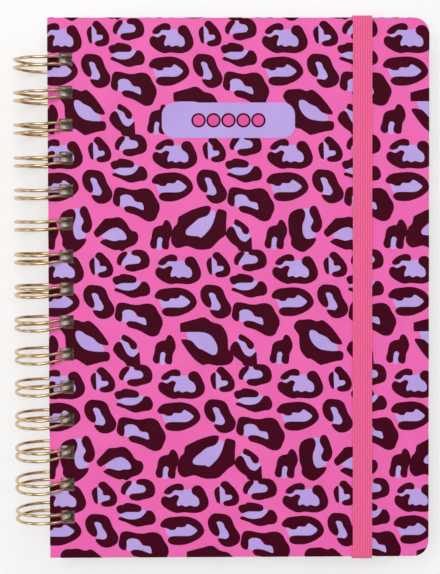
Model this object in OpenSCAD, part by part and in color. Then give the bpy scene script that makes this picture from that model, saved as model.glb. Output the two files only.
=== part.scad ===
// A5 hardcover notebook with a twin-loop wire binding and an elastic closing band.
// It lies closed and face up: X runs from the spine to the fore-edge, Y from tail to head.
// Every piece is laid out about the axis of the wire loops and then moved to the row's
// origin, which is under the middle of the whole notebook at the lowest point of the loops.

/* [Covers] */
// Width of a cover from its spine edge to its fore-edge
cover_w = 148; // [110:1:220]
// Height of a cover from tail to head
cover_h = 210; // [150:1:300]
// Radius of the two corners at the fore-edge
corner_r = 6; // [3:0.5:12]
// Thickness of the grey board inside a cover
board_t = 1.8; // [1.2:0.1:3]
// Thickness of the printed paper that wraps the board
wrap_t = 0.25; // [0.15:0.05:0.4]
// Thickness of the lining paper pasted inside a cover
lining_t = 0.2; // [0.1:0.05:0.4]
// Width of the wrap that is turned in over the inside of the board
turn_in_w = 14; // [12:1:20]
// Margin left round the lining paper
lining_inset = 2.5; // [1.5:0.5:5]

/* [Punched holes] */
// Size of a hole across the cover
hole_w = 5.2; // [4.6:0.1:6.5]
// Size of a hole along the spine
hole_h = 5; // [4.6:0.1:7]
// Distance from the spine edge of a cover or page to the holes
hole_margin = 4.4; // [3:0.1:8]
// Distance from one hole to the next along the spine
hole_pitch = 12.7; // [12:0.1:15]
// Least distance from head or tail to the middle of the end hole
end_margin = 13.5; // [10:0.5:25]

/* [Wire] */
// Outer diameter of a closed loop
loop_d = 23; // [21:0.5:30]
// Diameter of the wire
wire_d = 1.2; // [0.9:0.1:1.3]
// Distance between the two wires of one loop
twin_gap = 3.1; // [2.4:0.1:3.2]
// Radius of the bend from a loop into the straight root wire
root_bend_r = 1.3; // [0.9:0.1:1.8]
// Length of the cut end past the last bend
wire_end = 2; // [1:0.5:3]
// Gap between the wire and what it passes through
wire_clear = 0.15; // [0.1:0.05:0.3]
// Gap between the tips of the loops and the line of the roots
tip_gap = 0.25; // [0.1:0.05:0.6]
// Gap between the seam of the wire and the face of the back cover
seam_clear = 0.2; // [0.15:0.05:0.6]

/* [Pages] */
// Thickness of the stack of pages
pages_t = 8.4; // [4:0.2:10]
// Gap between the stack and a cover
pages_clear = 0.3; // [0.2:0.05:0.5]
// Distance from the head, tail and fore-edge of the covers to the pages
pages_inset = 2.5; // [1:0.5:5]
// Radius of the fore-edge corners of the pages
pages_corner_r = 5; // [2:0.5:10]

/* [Elastic band] */
// Width of the band
band_w = 7.5; // [5:0.5:12]
// Thickness of the band on a rib
band_t = 0.7; // [0.5:0.05:1]
// Depth of the grooves between the ribs
groove_d = 0.2; // [0.1:0.05:0.25]
// Width of one groove
groove_w = 0.22; // [0.15:0.01:0.3]
// Number of lengthwise ribs
rib_n = 8; // [5:1:12]
// Distance from the fore-edge of the covers to the middle of the band
band_inset = 29.1; // [15:0.1:50]
// Gap between the band and the covers
band_clear = 0.15; // [0.1:0.01:0.2]
// Distance from head or tail to the slots that hold the ends of the band
slot_inset = 14; // [10:1:30]
// Length of the end tab glued inside the back cover
tab_l = 9; // [6:1:15]
// Gap round the band in its slots and rebates
slot_clear = 0.15; // [0.1:0.05:0.4]

/* [Title panel] */
// Width of the panel
panel_w = 51.6; // [30:0.2:80]
// Height of the panel
panel_h = 13.7; // [8:0.1:20]
// Corner radius of the panel
panel_r = 4.8; // [2:0.1:6]
// Distance from the spine edge to the middle of the panel
panel_x = 70; // [60:0.5:90]
// Distance from the head to the middle of the panel
panel_y = 39.7; // [25:0.1:60]
// Diameter of one dot in the row on the panel
dot_d = 4.2; // [3:0.1:6]
// Distance from one dot to the next
dot_pitch = 5.8; // [5:0.1:8]
// Number of dots in the row
dot_n = 5; // [3:1:7]
// Width of the dark outline round a dot
dot_line = 0.7; // [0.3:0.05:0.8]

/* [Print] */
// Thickness of a printed field
ink_t = 0.05; // [0.03:0.01:0.08]
// Height of a printed field over the paper
ink_lift = 0.01; // [0.01:0.01:0.02]

/* [Hidden] */
$fn = 64;
over = 1;

// Levels of the closed notebook above and below the axis of the loops
inner_z = pages_t / 2 + pages_clear;
board_z = inner_z + lining_t + wrap_t;
outer_z = board_z + board_t + wrap_t;

// The loops, and the covers that they pass through
wire_r = wire_d / 2;
loop_r = loop_d / 2 - wire_r;
loop_in_r = loop_r - wire_r;
hole_x = sqrt(pow(loop_in_r, 2) - pow(outer_z, 2)) - wire_clear;
spine_x = hole_x - hole_margin;
fore_x = spine_x + cover_w;
loop_n = floor((cover_h - 2 * end_margin) / hole_pitch) + 1;
loop_y = [for (i = [0 : loop_n - 1]) (i - (loop_n - 1) / 2) * hole_pitch];

// The seam of the wire lies just outside the back cover
tip_r = twin_gap / 2;
root_out = tip_r + root_bend_r;
root_deg = -asin((outer_z + seam_clear) / loop_in_r);
root_line_deg = root_deg - atan(root_bend_r / loop_r);
tip_deg = 360 + root_line_deg - asin((tip_gap + tip_r) / loop_r);
sleeve_l = wire_d / 4;
sleeve_gap = wire_d / 12;
sleeve_wall = wire_d / 40;

// The stack of pages leans round the inside of the loops
lean_r = loop_in_r - wire_clear;
pages_w = fore_x - pages_inset - (lean_r - hole_margin);

// The band: where it turns over an edge, its bend stays under 3.4 gaps to clear the edge
bend_in_gaps = 2.5;
band_bend_r = bend_in_gaps * band_clear;
band_x = fore_x - band_inset;
rib_pitch = (band_w + groove_w) / rib_n;
rib_w = rib_pitch - groove_w;
slot_y = cover_h / 2 - slot_inset;
slot_l = band_t + 2 * slot_clear;
slot_w = band_w + 2 * slot_clear;
ink_z = outer_z + ink_lift;
ink_step = ink_t + ink_lift;

// The print repeats in tiles. It is drawn out a little along the spine, so that its columns
// lean: drift is how far a place on the first tiles moves over two rows, by its distance
// from the second column, and nothing moves in the middle row
tile_w = 45.5;
tile_h = 44.8;
first_row_y = 0.4;
second_column_x = 41;
middle_row = 2;
drift_rows = 2;
drift = [
    [-50, -0.6], [-36, -0.3], [-20, 0.9], [5, 2.1], [25, 3], [40, 3.7], [54, 4.1], [70, 3.9],
    [85, 2.8], [100, 1.4], [125, 0]
];
last_row = ceil((cover_h - first_row_y) / tile_h) - 1;
last_column = ceil(cover_w / tile_w) - 1;

// Spots of the print: where one is drawn in its tile, its dark outline and its lilac middle,
// in millimetres to the right and down
SPOTS = [
    ["A", [-1.6, -2.7],
        [[2, 10.8], [4.2, 5.6], [8.8, 3.8], [14.4, 4.9], [17.6, 5.6], [19.8, 10.6], [18, 14.4],
         [10, 15.3], [4, 14]],
        [[4.6, 8.4], [8.4, 6.4], [13.2, 6.2], [16.4, 9.6], [15.6, 12.6], [9, 12.8], [8, 9.2]]],
    ["B", [-1.6, -2.7],
        [[22.3, 6], [25, 3.1], [28.2, 4.4], [31.2, 9], [30, 12.4], [26, 12.6], [22.4, 10.4]],
        [[24, 5.6], [26.2, 8.2], [28.6, 9], [25.8, 10.8], [24, 10.8]]],
    ["C", [23.7, -2.7],
        [[7.4, 7.6], [7.9, 4.4], [10.6, 2.6], [15.6, 1.9], [19.4, 3.8], [19.8, 8], [16, 10],
         [11.4, 10]],
        [[9.6, 7.6], [11.8, 3.2], [15.4, 4.4], [16.6, 6.8], [11.6, 7.6]]],
    ["D", [-1.6, 14.7],
        [[19.5, 1.4], [21.4, -1.6], [26.2, -1.4], [29.2, 2.6], [31.6, 8], [28.4, 11.3],
         [24, 9.8], [23, 7.2], [20.6, 5.4]],
        [[22.8, 1.7], [24.2, 1.2], [27.4, 6.6], [26.4, 8.2], [24, 7.4]]],
    ["E", [23.7, -2.7],
        [[5.6, 13.4], [9, 11.4], [14, 12.2], [18.8, 14.6], [20.1, 18], [17, 20.1], [12.6, 20.6],
         [6.4, 18]],
        [[7, 16], [10, 14.9], [15, 14.2], [16.2, 15.2], [14, 17.4], [9.4, 17.4]]],
    ["F", [-1.6, 14.7],
        [[1.7, 2.6], [4, 0], [11, -0.7], [16.8, 2], [18, 5.6], [14.6, 9], [8, 10.5], [4.6, 8.6],
         [3.4, 3.9]],
        [[4.4, 5], [8, 3.7], [12, 2.3], [15.4, 4.8], [12.6, 7], [5, 7]]],
    ["G", [23.7, 14.7],
        [[6.4, 10.4], [8.4, 5.1], [18, 5.5], [22.6, 7.2], [25, 13], [22.6, 18], [18.6, 17.6],
         [11.4, 14.4], [8.6, 12.6]],
        [[9.4, 9], [12.4, 7.9], [15.2, 10.6], [18.2, 11.2], [18.6, 13.8], [10, 12.2]]],
    ["K", [-21.7, 28.5],
        [[21, 13.6], [22.4, 7.6], [27, 4.2], [29.9, 8], [28.4, 15.2], [22.8, 15.2]],
        [[24, 11.4], [25, 10.4], [26, 11.4], [25.6, 15], [23.9, 15]]],
    ["J", [23.7, 28.3],
        [[6.4, 9.6], [10.4, 3.9], [15.6, 8], [16.8, 12], [16.6, 16.4], [12, 16.2], [8, 12.4]],
        [[9.2, 6.6], [12, 7.2], [13.6, 9.6], [16, 10.4], [13.6, 12.4], [11.4, 10.4]]],
    ["H", [7.2, 22.7],
        [[2, 6.8], [3.8, 4.1], [13.2, 4.1], [18, 8.6], [20.9, 13.2], [21, 19.5], [13, 21.5],
         [5, 16.6], [3.4, 9]],
        [[8, 9.4], [10.6, 8.3], [18.4, 13.8], [18.6, 16.2], [13.6, 16], [8.8, 12.4]]],
    ["Q", [-1.6, 14.7],
        [[11.6, 16.4], [12, 13.1], [20, 10.9], [28, 14.4], [30.2, 21.8], [32.4, 26.2],
         [30, 29.4], [20.6, 29.5], [15.2, 25], [12, 19.8]],
        [[14.4, 17.6], [18.4, 16.5], [23, 17.6], [26, 21.6], [25.4, 25.6], [19.4, 23.4]]],
    ["M", [6.9, 22.9],
        [[1.8, 11.2], [2.8, 6.8], [6.6, 5.2], [12.2, 4.2], [14.9, 10.4], [13.4, 14.4],
         [12.6, 16.8], [9.8, 20.8], [7, 22], [2.9, 19.2]],
        [[8.2, 6], [10, 5.6], [11.2, 10.4], [11, 13.8], [12.2, 15.6], [9.2, 16.8], [7.6, 13]]],
    ["N", [20.8, 26.8],
        [[2.2, 10.3], [6.8, 5], [12, 4.4], [16.4, 8.6], [20, 11.8], [18.4, 15.2], [13, 17.4],
         [5, 14.3]],
        [[6, 11.6], [11, 8.5], [15.2, 12.4], [12.4, 13.5], [6.4, 12.8]]],
    ["P", [-3.2, 24.5],
        [[10.9, 15], [13.3, 9.4], [15, 6.1], [25, 2.5], [33, 5], [32.6, 13.6], [26.6, 19],
         [16.8, 18.1], [13, 18.8], [11, 16.8]],
        [[17, 13], [21.2, 7.6], [28.2, 4.8], [27.2, 9.8], [23, 14.6]]]
];

// Spots that every tile has, and those that stand in its last line by even or odd column
// and row
EVERY_TILE = ["A", "B", "C", "D", "E", "F", "G", "K"];
LAST_LINE = [[["H", "J"], ["M", "N"]], [["Q", "J"], ["P", "J"]]];

// The row's origin
mid_x = (fore_x - loop_d / 2) / 2;
module in_row() { translate([-mid_x, 0, loop_d / 2]) children(); }

// Turns a piece of the back cover from the same piece of the front cover
module as_back() { mirror([0, 0, 1]) children(); }

// Outline of a cover, drawn in by inset on every side
module cover_outline(inset = 0) {
    h = cover_h - 2 * inset;
    r = corner_r - inset;
    translate([spine_x + inset, -h / 2]) {
        square([cover_w - 2 * inset - r, h]);
        translate([0, r]) square([cover_w - 2 * inset, h - 2 * r]);
        for (y = [r, h - r]) translate([cover_w - 2 * inset - r, y]) circle(r);
    }
}

// The row of punched holes, cut through everything between the levels from and to
module punched_holes(from, to) {
    for (y = loop_y)
        translate([hole_x, y - hole_h / 2, from]) cube([hole_w, hole_h, to - from]);
}

// Board of the front cover
module board() {
    difference() {
        translate([0, 0, board_z]) linear_extrude(board_t) cover_outline(wrap_t);
        punched_holes(board_z - over, outer_z + over);
    }
}

// Printed paper round the board: the face, the edges and the strips turned in
module wrap() {
    difference() {
        translate([0, 0, inner_z + lining_t])
            linear_extrude(outer_z - inner_z - lining_t) cover_outline();
        translate([0, 0, board_z]) linear_extrude(board_t) cover_outline(wrap_t);
        translate([spine_x + turn_in_w, turn_in_w - cover_h / 2, inner_z])
            cube([cover_w - 2 * turn_in_w, cover_h - 2 * turn_in_w, board_z - inner_z]);
        punched_holes(inner_z - over, outer_z + over);
    }
}

// Lining paper: it lies on the strips turned in and steps down on to the board between them
module lining() {
    difference() {
        union() {
            translate([0, 0, inner_z]) linear_extrude(lining_t) cover_outline(lining_inset);
            translate([spine_x + turn_in_w, turn_in_w - cover_h / 2, inner_z + lining_t])
                cube([cover_w - 2 * turn_in_w, cover_h - 2 * turn_in_w, wrap_t]);
        }
        punched_holes(inner_z - over, outer_z + over);
    }
}

module front_board() { color("#b9ada0") in_row() board(); }
module front_wrap() { color("#ec68b3") in_row() wrap(); }
module front_lining() { color("#f3eef0") in_row() lining(); }

// Slots that the ends of the band pass through, in the plane of the front cover
module band_slots(from, to) {
    for (side = [-1, 1])
        translate([band_x - slot_w / 2, side * slot_y - slot_l / 2, from])
            cube([slot_w, slot_l, to - from]);
}

// Rebates in the inside of the board for the tabs of the band
module tab_rebates() {
    depth = band_t + slot_clear;
    for (side = [-1, 1])
        translate([
            band_x - slot_w / 2,
            side * (slot_y - tab_l / 2) - (tab_l + slot_l) / 2,
            board_z - over
        ]) cube([slot_w, tab_l + slot_l, depth + over]);
}

module back_board() {
    color("#b9ada0") in_row() as_back() difference() {
        board();
        band_slots(board_z - over, outer_z + over);
        tab_rebates();
    }
}

module back_wrap() {
    color("#ec68b3") in_row() as_back() difference() {
        wrap();
        band_slots(board_z + over / 2, outer_z + over);
    }
}

module back_lining() { color("#f3eef0") in_row() as_back() lining(); }

// Section across the stack, from and to being measured at the lean of the pages
module lean_section(from, to) {
    difference() {
        intersection() {
            translate([from, -pages_t / 2]) square([to - from + lean_r, pages_t]);
            union() {
                translate([from, -pages_t / 2]) square([to - from, pages_t]);
                translate([to, 0]) circle(lean_r);
            }
        }
        translate([from, 0]) circle(lean_r);
    }
}

// Outline of the stack seen from above
module pages_outline() {
    x = spine_x - over;
    w = fore_x - pages_inset - x;
    h = cover_h - 2 * pages_inset;
    r = pages_corner_r;
    translate([x, -h / 2]) {
        square([w - r, h]);
        translate([0, r]) square([w, h - 2 * r]);
        for (y = [r, h - r]) translate([w - r, y]) circle(r);
    }
}

module page_block() {
    color("#f6f3ee") in_row() difference() {
        intersection() {
            rotate([90, 0, 0]) linear_extrude(cover_h, center = true)
                lean_section(-hole_margin, pages_w - hole_margin);
            translate([0, 0, -pages_t]) linear_extrude(2 * pages_t) pages_outline();
        }
        for (y = loop_y)
            translate([0, y, 0]) rotate([90, 0, 0])
                linear_extrude(hole_h, center = true) lean_section(0, hole_w);
    }
}

// One arc of wire round the axis, which is the module's Z, a hair short at both ends
module wire_arc(radius, from, turn) {
    short_deg = atan(sleeve_gap / 2 / radius);
    rotate_extrude(angle = turn - 2 * short_deg, start = from + short_deg)
        translate([radius, 0]) circle(wire_r);
}

// A sleeve as thin as a coat of lacquer closes the gap between two lengths of the wire
module sleeve() {
    rotate([90, 0, 0]) cylinder(h = sleeve_l, r = wire_r + sleeve_wall, center = true);
}

// Stands a flat bend on the loop at an angle, with its plane touching the loop
module on_loop(angle) {
    rotate([0, 0, angle]) translate([loop_r, 0, 0]) rotate([0, 90, 0]) children();
}

// Round tip that joins the two wires of a loop
module loop_tip() {
    wire_arc(tip_r, 0, 180);
    for (x = [-tip_r, tip_r]) translate([x, 0, 0]) sleeve();
}

// Bend from one wire of a loop into the line of the roots
module root_bend() {
    translate([tip_r, 0, 0]) sleeve();
    translate([root_out, 0, 0]) {
        wire_arc(root_bend_r, 180, 90);
        translate([0, -root_bend_r, 0]) rotate([0, 0, 90]) sleeve();
    }
}

// One loop: two wires side by side, with a tip at one end and a bend at each root
module twin_loop() {
    for (z = [-tip_r, tip_r]) translate([0, 0, z]) wire_arc(loop_r, root_deg, tip_deg - root_deg);
    on_loop(tip_deg) loop_tip();
    on_loop(root_deg) for (side = [0, 1]) mirror([side, 0, 0]) root_bend();
}

// Straight wire along the line of the roots
module root_wire(from, to) {
    rotate([0, 0, root_deg]) translate([loop_r, -root_bend_r, from + sleeve_gap / 2])
        cylinder(h = to - from - sleeve_gap, r = wire_r);
}

module wire_binding() {
    last = loop_y[loop_n - 1];
    color("#c9a468") in_row() rotate([90, 0, 0]) {
        for (z = loop_y) translate([0, 0, z]) twin_loop();
        for (i = [0 : loop_n - 2]) root_wire(loop_y[i] + root_out, loop_y[i + 1] - root_out);
        root_wire(-last - root_out - wire_end, -last - root_out);
        root_wire(last + root_out, last + root_out + wire_end);
    }
}

// Quarter of a band bend about the origin, from +Y to +Z
module bend_section(t) {
    intersection() {
        difference() {
            circle(band_bend_r + t);
            circle(band_bend_r);
        }
        square(band_bend_r + t);
    }
}

// Half of the band's path from the middle of the front to the tab, in the plane of Y and Z
module band_path(t) {
    face = outer_z + band_clear;
    edge = cover_h / 2 + band_clear;
    tab_z = -board_z - slot_clear / 2;
    translate([0, face]) square([edge - band_bend_r, t]);
    translate([edge - band_bend_r, face - band_bend_r]) bend_section(t);
    translate([edge, band_bend_r - face]) square([t, 2 * (face - band_bend_r)]);
    translate([edge - band_bend_r, band_bend_r - face]) mirror([0, 1]) bend_section(t);
    translate([slot_y - band_t / 2, -face - t]) square([edge - band_bend_r - slot_y + band_t / 2, t]);
    translate([slot_y - band_t / 2, -face - t]) square([band_t, tab_z + face + t]);
    translate([slot_y - band_t / 2 - tab_l, tab_z - band_t]) square([tab_l + band_t, band_t]);
}

module band_strip(x, w, t) {
    translate([x, 0, 0]) rotate([90, 0, 90]) linear_extrude(w) {
        band_path(t);
        mirror([1, 0]) band_path(t);
    }
}

module elastic_band() {
    start = band_x - band_w / 2;
    color("#f06ba0") in_row() {
        for (i = [0 : rib_n - 1]) band_strip(start + i * rib_pitch, rib_w, band_t);
        for (i = [1 : rib_n - 1])
            band_strip(start + i * rib_pitch - groove_w, groove_w, band_t - groove_d);
    }
}

// Rounded field in the plane of the cover, about the middle of the title panel
module panel_field(grow = 0) {
    x = panel_w / 2 - panel_r;
    y = panel_h / 2 - panel_r;
    r = panel_r + grow;
    square([2 * x, panel_h + 2 * grow], center = true);
    square([panel_w + 2 * grow, 2 * y], center = true);
    for (i = [-1, 1], j = [-1, 1]) translate([i * x, j * y]) circle(r);
}

module on_panel(level = 0) {
    translate([spine_x + panel_x, cover_h / 2 - panel_y, level]) children();
}

// Part of the front cover that takes the print: not the holes, and not the title panel
module print_area() {
    difference() {
        cover_outline(ink_lift);
        for (y = loop_y) translate([hole_x, y - hole_h / 2]) square([hole_w, hole_h]);
        on_panel() panel_field(ink_lift);
    }
}

// One outline of a spot, at its place in a tile of the print
module spot_field(place, outline, column, row) {
    polygon([
        for (p = outline)
            let (across = (column - 1) * tile_w + place[0] + p[0])
            [
                spine_x + second_column_x + across + lookup(across, drift) * (row - middle_row) / drift_rows,
                cover_h / 2 - first_row_y - row * tile_h - place[1] - p[1]
            ]
    ]);
}

function holds(names, name) = len([for (n = names) if (n == name) n]) > 0;

// All the spots of the cover, in the part of their entry that is asked for
module spots(part) {
    for (row = [-1 : last_row], column = [0 : last_column]) {
        names = concat(EVERY_TILE, LAST_LINE[column % 2][(row + 2) % 2]);
        for (spot = SPOTS)
            if (holds(names, spot[0])) spot_field(spot[1], spot[part], column, row);
    }
}

module printed(part, level) {
    translate([0, 0, level]) linear_extrude(ink_t) intersection() {
        spots(part);
        print_area();
    }
}

module front_print_spots() { color("#431420") in_row() printed(2, ink_z); }
module front_print_centres() { color("#b69ee2") in_row() printed(3, ink_z + ink_step); }

module front_title_panel() {
    color("#b69ee2") in_row() on_panel(ink_z) linear_extrude(ink_t) panel_field();
}

// Row of round fields along the middle of the title panel
module dots(diameter, level) {
    on_panel(level)
        for (i = [0 : dot_n - 1])
            translate([(i - (dot_n - 1) / 2) * dot_pitch, 0, 0]) cylinder(h = ink_t, d = diameter);
}

module front_dot_outlines() {
    color("#431420") in_row() dots(dot_d + 2 * dot_line, ink_z + ink_step);
}

module front_title_dots() { color("#d9559b") in_row() dots(dot_d, ink_z + 2 * ink_step); }

back_board();
back_wrap();
back_lining();
wire_binding();
elastic_band();
page_block();
front_board();
front_wrap();
front_lining();
front_print_spots();
front_print_centres();
front_title_panel();
front_dot_outlines();
front_title_dots();
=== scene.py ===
import math
import random

import bmesh
import bpy
from mathutils import Euler, Matrix, Vector, geometry


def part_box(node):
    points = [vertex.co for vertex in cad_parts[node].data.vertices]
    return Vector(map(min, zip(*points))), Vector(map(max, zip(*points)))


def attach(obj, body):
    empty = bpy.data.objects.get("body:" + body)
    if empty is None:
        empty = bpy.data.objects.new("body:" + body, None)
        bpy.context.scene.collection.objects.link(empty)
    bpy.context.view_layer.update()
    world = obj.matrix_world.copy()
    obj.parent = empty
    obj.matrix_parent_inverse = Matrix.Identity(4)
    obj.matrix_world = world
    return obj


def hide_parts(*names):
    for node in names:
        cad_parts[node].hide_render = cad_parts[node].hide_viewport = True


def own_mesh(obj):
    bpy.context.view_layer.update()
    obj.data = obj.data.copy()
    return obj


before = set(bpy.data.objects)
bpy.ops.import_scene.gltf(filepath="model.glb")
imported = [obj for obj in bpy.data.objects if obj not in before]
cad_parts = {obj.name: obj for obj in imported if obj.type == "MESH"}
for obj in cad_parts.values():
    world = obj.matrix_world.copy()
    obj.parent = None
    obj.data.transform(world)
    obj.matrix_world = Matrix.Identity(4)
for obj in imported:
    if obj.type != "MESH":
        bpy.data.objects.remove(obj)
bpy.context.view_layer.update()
scene = bpy.context.scene


# Camera: it hangs over the closed notebook and looks almost straight down at the front
# cover, with the head of the notebook at the top of the picture.
camera_data = bpy.data.cameras.new("camera")
camera_data.lens = 65.4
camera = bpy.data.objects.new("camera", camera_data)
camera.location = Vector((-4.18, 9.52, 423.99)) / 1000
camera.rotation_euler = Euler([math.radians(turn) for turn in (-1.247, -0.567, -0.14)])
scene.collection.objects.link(camera)
scene.camera = camera
scene.view_settings.view_transform = "Standard"


# Boards: one sheet of grey millboard in each cover, pressed from waste paper, 1.8 mm thick.
# It shows only as the cut walls of the punched holes.
def linear(hex_colour):
    channels = [int(hex_colour[i:i + 2], 16) / 255 for i in (1, 3, 5)]
    return tuple(c / 12.92 if c < 0.04 else ((c + 0.055) / 1.055) ** 2.4 for c in channels) + (1,)


def new_finish(name):
    material = bpy.data.materials.new(name)
    material.use_nodes = True
    return material, material.node_tree, material.node_tree.nodes["Principled BSDF"]


def add(tree, kind, sockets, **settings):
    node = tree.nodes.new(kind)
    for name, value in settings.items():
        setattr(node, name, value)
    for name, value in sockets.items():
        if isinstance(value, bpy.types.NodeSocket):
            tree.links.new(value, node.inputs[name])
        else:
            node.inputs[name].default_value = value
    return node


def join(tree, output, shader, socket):
    tree.links.new(output, shader.inputs[socket])


# Millboard is dull and mottled: flecks of about 1 mm, and fibres felt more than seen
board_finish, tree, shader = new_finish("grey_millboard_pressed")
place = add(tree, "ShaderNodeTexCoord", {}).outputs
flecks = add(tree, "ShaderNodeTexNoise", {"Vector": place["Object"], "Scale": 1000.0, "Detail": 4.0})
shades = add(tree, "ShaderNodeValToRGB", {"Fac": flecks.outputs["Fac"]})
shades.color_ramp.elements[0].position = 0.3
shades.color_ramp.elements[0].color = linear("#9c9084")
shades.color_ramp.elements[1].position = 0.7
shades.color_ramp.elements[1].color = linear("#c6bbae")
fibres = add(tree, "ShaderNodeTexNoise", {"Vector": place["Object"], "Scale": 3000.0, "Detail": 2.0})
relief = add(tree, "ShaderNodeBump", {"Strength": 0.4, "Distance": 0.0001, "Height": fibres.outputs["Fac"]})
join(tree, shades.outputs["Color"], shader, "Base Color")
join(tree, relief.outputs["Normal"], shader, "Normal")
shader.inputs["Roughness"].default_value = 0.9
for name in ("front_board", "back_board"):
    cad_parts[name].material_slots[0].material = board_finish


# Wraps: printed paper with a matt film, glued round each board and turned in. The turned
# paper rounds the outer rims, and the punch leaves the rims of the holes a little soft.
SPINE_X = -66.747
FORE_X = 81.253
HALF_H = 105.0
CORNER_R = 6.0
FACE_Z = 18.5
TURNED_Z = 16.2
AXIS_Z = 11.5
RIM_R = 0.4
HOLE_RIM_R = 0.12
RIM_STEPS = 4
HOLE_RIM_STEPS = 2
HOLE_STRIP_W = 12.0


def merged_copy(node):
    """A copy of a solid's mesh, with its loose triangles merged into whole faces."""
    shape = bmesh.new()
    shape.from_mesh(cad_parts[node].data)
    bmesh.ops.remove_doubles(shape, verts=shape.verts, dist=1e-7)
    bmesh.ops.dissolve_limit(shape, angle_limit=math.radians(0.5), verts=shape.verts, edges=shape.edges)
    return shape


def piece_from(shape, name, material, smooth=True):
    """Makes the shape, in metres, a piece of the notebook with one finish."""
    mesh = bpy.data.meshes.new(name)
    shape.to_mesh(mesh)
    shape.free()
    for polygon in mesh.polygons:
        polygon.use_smooth = smooth
    mesh.materials.append(material)
    piece = bpy.data.objects.new(name, mesh)
    scene.collection.objects.link(piece)
    return piece


def on_outline(point):
    """Whether a point lies on the outer edge of a cover, round its corners too."""
    x, y = point.x * 1000, abs(point.y) * 1000
    if x > FORE_X - CORNER_R and y > HALF_H - CORNER_R:
        reach = math.hypot(x - FORE_X + CORNER_R, y - HALF_H + CORNER_R)
        return abs(reach - CORNER_R) < 0.02
    return min(abs(x - SPINE_X), abs(x - FORE_X), abs(y - HALF_H)) < 0.01


def soften(shape, edges, radius, steps):
    bmesh.ops.bevel(
        shape, geom=edges, offset=radius / 1000, offset_type="OFFSET", segments=steps,
        profile=0.5, affect="EDGES", material=-1, clamp_overlap=True
    )


# Matt film over ink: an even pink with a dull sheen. The board shows through it as faint
# swells of 2 mm, under a paper grain of 0.3 mm
wrap_finish, tree, shader = new_finish("pink_paper_matt_film")
place = add(tree, "ShaderNodeTexCoord", {}).outputs
clouds = add(tree, "ShaderNodeTexNoise", {"Vector": place["Object"], "Scale": 60.0, "Detail": 3.0})
shades = add(tree, "ShaderNodeValToRGB", {"Fac": clouds.outputs["Fac"]})
shades.color_ramp.elements[0].position = 0.3
shades.color_ramp.elements[0].color = linear("#ed64b0")
shades.color_ramp.elements[1].position = 0.7
shades.color_ramp.elements[1].color = linear("#f16cb7")
swells = add(tree, "ShaderNodeTexNoise", {"Vector": place["Object"], "Scale": 500.0, "Detail": 2.0})
grain = add(tree, "ShaderNodeTexNoise", {"Vector": place["Object"], "Scale": 3300.0, "Detail": 1.0})
relief = add(tree, "ShaderNodeBump", {
    "Strength": 0.25, "Distance": 0.00004, "Height": swells.outputs["Fac"]
})
relief = add(tree, "ShaderNodeBump", {
    "Strength": 0.15, "Distance": 0.00002, "Height": grain.outputs["Fac"],
    "Normal": relief.outputs["Normal"]
})
join(tree, shades.outputs["Color"], shader, "Base Color")
join(tree, relief.outputs["Normal"], shader, "Normal")
shader.inputs["Roughness"].default_value = 0.5
shader.inputs["Specular IOR Level"].default_value = 0.12

for side in ("front", "back"):
    shape = merged_copy(side + "_wrap")
    level = (FACE_Z if side == "front" else 2 * AXIS_Z - FACE_Z) / 1000
    rims = [
        e for e in shape.edges
        if all(on_outline(v.co) for v in e.verts) and e.calc_face_angle(0) > 1
    ]
    soften(shape, rims, RIM_R, RIM_STEPS)
    hole_rims = [
        e for e in shape.edges
        if all(abs(v.co.z - level) < 1e-6 and v.co.x * 1000 < SPINE_X + HOLE_STRIP_W for v in e.verts)
        and e.calc_face_angle(0) > 1
    ]
    soften(shape, hole_rims, HOLE_RIM_R, HOLE_RIM_STEPS)
    wrap = piece_from(shape, side + "_wrap_paper", wrap_finish)
    wrap.modifiers.new("flat_faces", "WEIGHTED_NORMAL").keep_sharp = True
    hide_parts(side + "_wrap")
    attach(wrap, side)


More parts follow.
